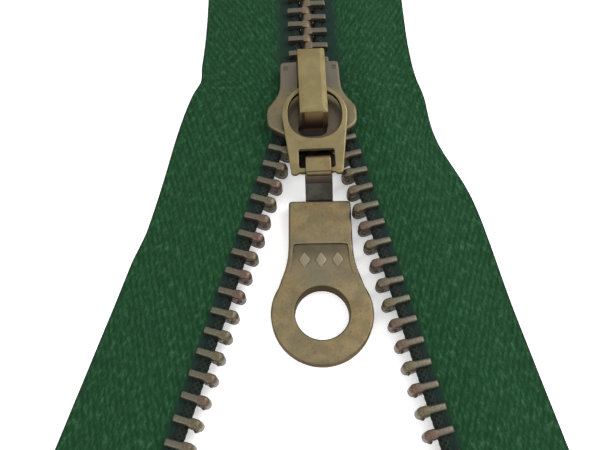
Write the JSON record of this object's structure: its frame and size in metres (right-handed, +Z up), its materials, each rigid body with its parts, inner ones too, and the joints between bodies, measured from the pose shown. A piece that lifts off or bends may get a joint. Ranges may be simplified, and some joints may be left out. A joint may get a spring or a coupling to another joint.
{
  "type": "zipper",
  "caption": "Part-open metal zipper: fabric tapes with crimped brass teeth, auto-lock slider under a hollow cap, bail, strap link and ring pull.",
  "frame": {"origin": "middle of the slider's underside, on the surface the zipper lies on", "axes": "+Y towards the closed chain and the bottom stop, -Y towards the open legs, +Z up through the cap"},
  "size_m": [0.0782, 0.1263, 0.0085],
  "materials": {
    "tape": "matte twill weave",
    "cord": "matte cord",
    "teeth": "antiqued, dull",
    "slider": "antiqued, satin",
    "pull": "antiqued, satin, mottled",
    "strap": "dark plated",
    "steel": "plain spring steel"
  },
  "bodies": {
    "closed_chain": {"left_tape": "tape", "left_cord": "cord", "right_tape": "tape", "right_cord": "cord", "bottom_stop": "teeth", "left_closed_tooth_1": "teeth", "left_closed_tooth_2": "teeth", "left_closed_tooth_3": "teeth", "left_closed_tooth_4": "teeth", "left_closed_tooth_5": "teeth", "left_closed_tooth_6": "teeth", "left_closed_tooth_7": "teeth", "right_closed_tooth_1": "teeth", "right_closed_tooth_2": "teeth", "right_closed_tooth_3": "teeth", "right_closed_tooth_4": "teeth", "right_closed_tooth_5": "teeth", "right_closed_tooth_6": "teeth", "right_closed_tooth_7": "teeth"},
    "left_leg": {"left_bend_cord": "cord", "left_open_row": "teeth", "left_open_tape": "tape"},
    "left_leg_end": {"left_end_row": "teeth", "left_end_tape": "tape", "left_end_cord": "cord", "left_top_stop": "teeth"},
    "left_bend_1": {"left_bend_tooth_1": "teeth"},
    "left_bend_2": {"left_bend_tooth_2": "teeth"},
    "left_bend_3": {"left_bend_tooth_3": "teeth"},
    "left_bend_4": {"left_bend_tooth_4": "teeth"},
    "right_leg": {"right_bend_cord": "cord", "right_open_row": "teeth", "right_open_tape": "tape"},
    "right_leg_end": {"right_end_row": "teeth", "right_end_tape": "tape", "right_end_cord": "cord", "right_top_stop": "teeth"},
    "right_bend_1": {"right_bend_tooth_1": "teeth"},
    "right_bend_2": {"right_bend_tooth_2": "teeth"},
    "right_bend_3": {"right_bend_tooth_3": "teeth"},
    "right_bend_4": {"right_bend_tooth_4": "teeth"},
    "slider": {"slider_body": "slider", "slider_cap": "slider", "pawl_spring": "steel"},
    "lock": {"lock_pawl": "steel"},
    "bail_loop": {"bail": "slider"},
    "link": {"pull_link": "strap"},
    "pull": {"pull_tab": "pull", "tab_pin": "steel"}
  },
  "joints": [
    {"name": "slider_travel", "type": "slide", "parent": "closed_chain", "child": "slider", "axis": [0, -1, 0], "range_m": [0, 0.068], "deforming": ["left_bend_cord", "left_open_row", "left_open_tape", "left_end_row", "left_end_tape", "left_end_cord", "left_top_stop", "left_bend_tooth_1", "left_bend_tooth_2", "left_bend_tooth_3", "left_bend_tooth_4", "right_bend_cord", "right_open_row", "right_open_tape", "right_end_row", "right_end_tape", "right_end_cord", "right_top_stop", "right_bend_tooth_1", "right_bend_tooth_2", "right_bend_tooth_3", "right_bend_tooth_4"]},
    {"name": "left_leg_swing", "type": "hinge", "parent": "closed_chain", "child": "left_leg", "pos_m": [-0.0029, 0.00326, 0], "axis": [0, 0, 1], "range_deg": [0, 18]},
    {"name": "left_leg_end_swing", "type": "hinge", "parent": "left_leg", "child": "left_leg_end", "pos_m": [-0.02391, -0.06141, 0], "axis": [0, 0, 1], "range_deg": [-18, 0]},
    {"name": "left_bend_1_swing", "type": "hinge", "parent": "closed_chain", "child": "left_bend_1", "pos_m": [-0.0029, 0.00326, 0], "axis": [0, 0, 1], "range_deg": [0, 0.4543]},
    {"name": "left_bend_2_swing", "type": "hinge", "parent": "closed_chain", "child": "left_bend_2", "pos_m": [-0.0029, 0.00326, 0], "axis": [0, 0, 1], "range_deg": [0, 4.76]},
    {"name": "left_bend_3_swing", "type": "hinge", "parent": "closed_chain", "child": "left_bend_3", "pos_m": [-0.0029, 0.00326, 0], "axis": [0, 0, 1], "range_deg": [0, 11.14]},
    {"name": "left_bend_4_swing", "type": "hinge", "parent": "closed_chain", "child": "left_bend_4", "pos_m": [-0.0029, 0.00326, 0], "axis": [0, 0, 1], "range_deg": [0, 16.51]},
    {"name": "right_leg_swing", "type": "hinge", "parent": "closed_chain", "child": "right_leg", "pos_m": [0.0029, 0.0091, 0], "axis": [0, 0, 1], "range_deg": [-11.9, 0]},
    {"name": "right_leg_end_swing", "type": "hinge", "parent": "right_leg", "child": "right_leg_end", "pos_m": [0.01692, -0.05744, 0], "axis": [0, 0, 1], "range_deg": [0, 11.9]},
    {"name": "right_bend_1_swing", "type": "hinge", "parent": "closed_chain", "child": "right_bend_1", "pos_m": [0.0029, 0.0091, 0], "axis": [0, 0, 1], "range_deg": [-1.43, 0]},
    {"name": "right_bend_2_swing", "type": "hinge", "parent": "closed_chain", "child": "right_bend_2", "pos_m": [0.0029, 0.0091, 0], "axis": [0, 0, 1], "range_deg": [-5.22, 0]},
    {"name": "right_bend_3_swing", "type": "hinge", "parent": "closed_chain", "child": "right_bend_3", "pos_m": [0.0029, 0.0091, 0], "axis": [0, 0, 1], "range_deg": [-9.35, 0]},
    {"name": "right_bend_4_swing", "type": "hinge", "parent": "closed_chain", "child": "right_bend_4", "pos_m": [0.0029, 0.0091, 0], "axis": [0, 0, 1], "range_deg": [-11.79, 0]},
    {"name": "lock_lift", "type": "hinge", "parent": "slider", "child": "lock", "pos_m": [0, -0.00215, 0.00545], "axis": [1, 0, 0], "range_deg": [0, 4], "stiffness_Nm_per_rad": 0.002, "springref_deg": -8.59, "deforming": ["pawl_spring"]},
    {"name": "bail_flip", "type": "hinge", "parent": "slider", "child": "bail_loop", "pos_m": [0, 0.0005, 0.0066], "axis": [-1, 0, 0], "range_deg": [0, 165]},
    {"name": "link_swing", "type": "hinge", "parent": "bail_loop", "child": "link", "pos_m": [0.0005, -0.01134, 0.00465], "axis": [1, 0, 0], "range_deg": [-100, 40]},
    {"name": "tab_swing", "type": "hinge", "parent": "link", "child": "pull", "pos_m": [0.0005, -0.01505, 0.00112], "axis": [-0.9997, 0.0262, 0], "range_deg": [-80, 0]}
  ],
  "couplings": [
    {"joint": "left_leg_swing", "follows": "slider_travel", "rad_per_m": 4.62},
    {"joint": "left_leg_end_swing", "follows": "slider_travel", "rad_per_m": -4.62},
    {"joint": "left_bend_1_swing", "follows": "slider_travel", "rad_per_m": 0.11608},
    {"joint": "left_bend_2_swing", "follows": "slider_travel", "rad_per_m": 1.2221},
    {"joint": "left_bend_3_swing", "follows": "slider_travel", "rad_per_m": 2.8597},
    {"joint": "left_bend_4_swing", "follows": "slider_travel", "rad_per_m": 4.2359},
    {"joint": "right_leg_swing", "follows": "slider_travel", "rad_per_m": -3.0543},
    {"joint": "right_leg_end_swing", "follows": "slider_travel", "rad_per_m": 3.0543},
    {"joint": "right_bend_1_swing", "follows": "slider_travel", "rad_per_m": -0.36567},
    {"joint": "right_bend_2_swing", "follows": "slider_travel", "rad_per_m": -1.3381},
    {"joint": "right_bend_3_swing", "follows": "slider_travel", "rad_per_m": -2.3998},
    {"joint": "right_bend_4_swing", "follows": "slider_travel", "rad_per_m": -3.0268}
  ]
}
